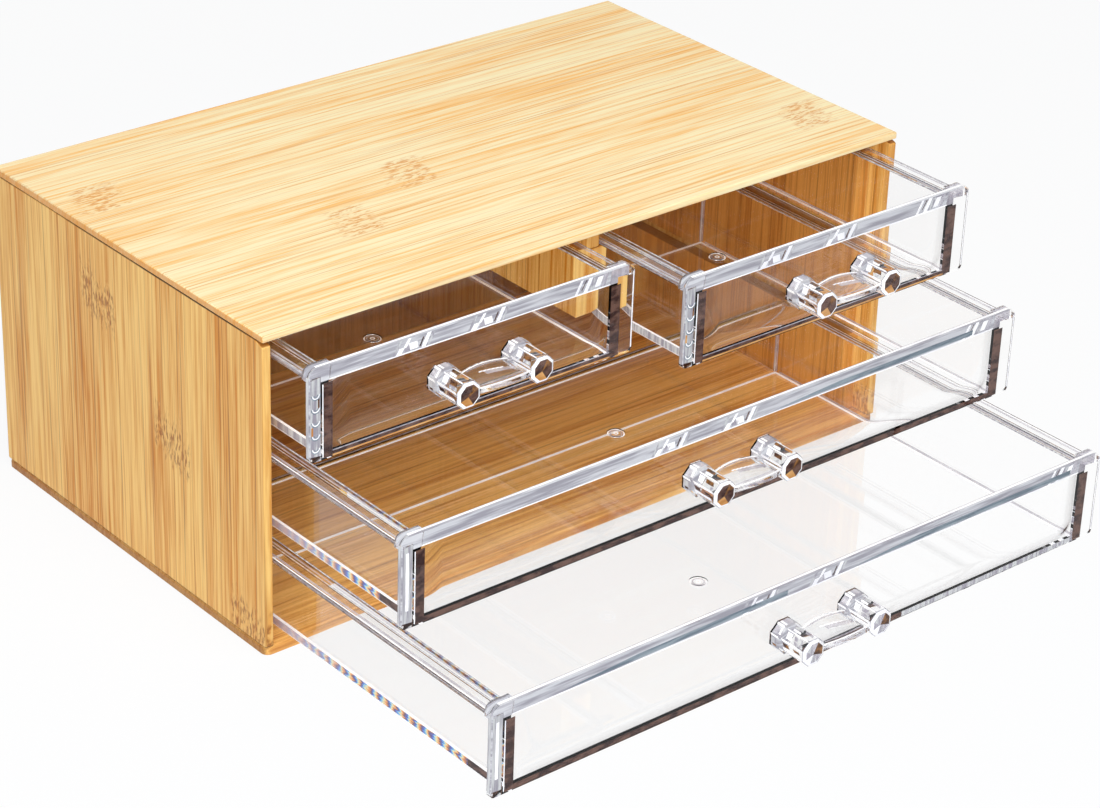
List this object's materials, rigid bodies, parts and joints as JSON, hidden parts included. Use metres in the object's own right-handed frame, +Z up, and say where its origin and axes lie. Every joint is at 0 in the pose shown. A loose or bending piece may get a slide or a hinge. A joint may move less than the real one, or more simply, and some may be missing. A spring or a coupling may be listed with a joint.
{
  "type": "drawer organizer",
  "caption": "Low bamboo box with clear plastic drawers in three tiers, the top tier split in two, each with a two-knob clear handle; the drawers slide out to the front.",
  "frame": {"origin": "centre of the case's underside", "axes": "+Z up, +X to the right as seen from the front, -Y out of the front, where the drawers come out"},
  "size_m": [0.27, 0.2817, 0.114],
  "materials": {
    "bamboo_board": "satin lacquer, pale, grain along the width",
    "bamboo_side": "satin lacquer, tan, grain upright",
    "bamboo_strip": "bare, darker, grain front to back",
    "clear_plastic": "clear polystyrene, polished"
  },
  "bodies": {
    "case": {"bottom_board": "bamboo_board", "top_board": "bamboo_board", "side_panel_left": "bamboo_side", "side_panel_right": "bamboo_side", "back_panel": "bamboo_side", "runner_strip_left_lower": "bamboo_strip", "runner_strip_left_middle": "bamboo_strip", "runner_strip_left_upper": "bamboo_strip", "runner_strip_right_lower": "bamboo_strip", "runner_strip_right_middle": "bamboo_strip", "runner_strip_right_upper": "bamboo_strip", "divider_block": "bamboo_strip", "divider_neck": "bamboo_strip"},
    "upper_left_drawer": {"upper_left_tray": "clear_plastic", "upper_left_plate": "clear_plastic", "upper_left_handle": "clear_plastic"},
    "upper_right_drawer": {"upper_right_tray": "clear_plastic", "upper_right_plate": "clear_plastic", "upper_right_handle": "clear_plastic"},
    "middle_drawer": {"middle_tray": "clear_plastic", "middle_plate": "clear_plastic", "middle_handle": "clear_plastic"},
    "bottom_drawer": {"bottom_tray": "clear_plastic", "bottom_plate": "clear_plastic", "bottom_handle": "clear_plastic"}
  },
  "joints": [
    {"name": "upper_left_slide", "type": "slide", "parent": "case", "child": "upper_left_drawer", "axis": [0, -1, 0], "range_m": [-0.019, 0.101]},
    {"name": "upper_right_slide", "type": "slide", "parent": "case", "child": "upper_right_drawer", "axis": [0, -1, 0], "range_m": [-0.0389, 0.0811]},
    {"name": "middle_slide", "type": "slide", "parent": "case", "child": "middle_drawer", "axis": [0, -1, 0], "range_m": [-0.0654, 0.0546]},
    {"name": "bottom_slide", "type": "slide", "parent": "case", "child": "bottom_drawer", "axis": [0, -1, 0], "range_m": [-0.1095, 0.0105]}
  ]
}
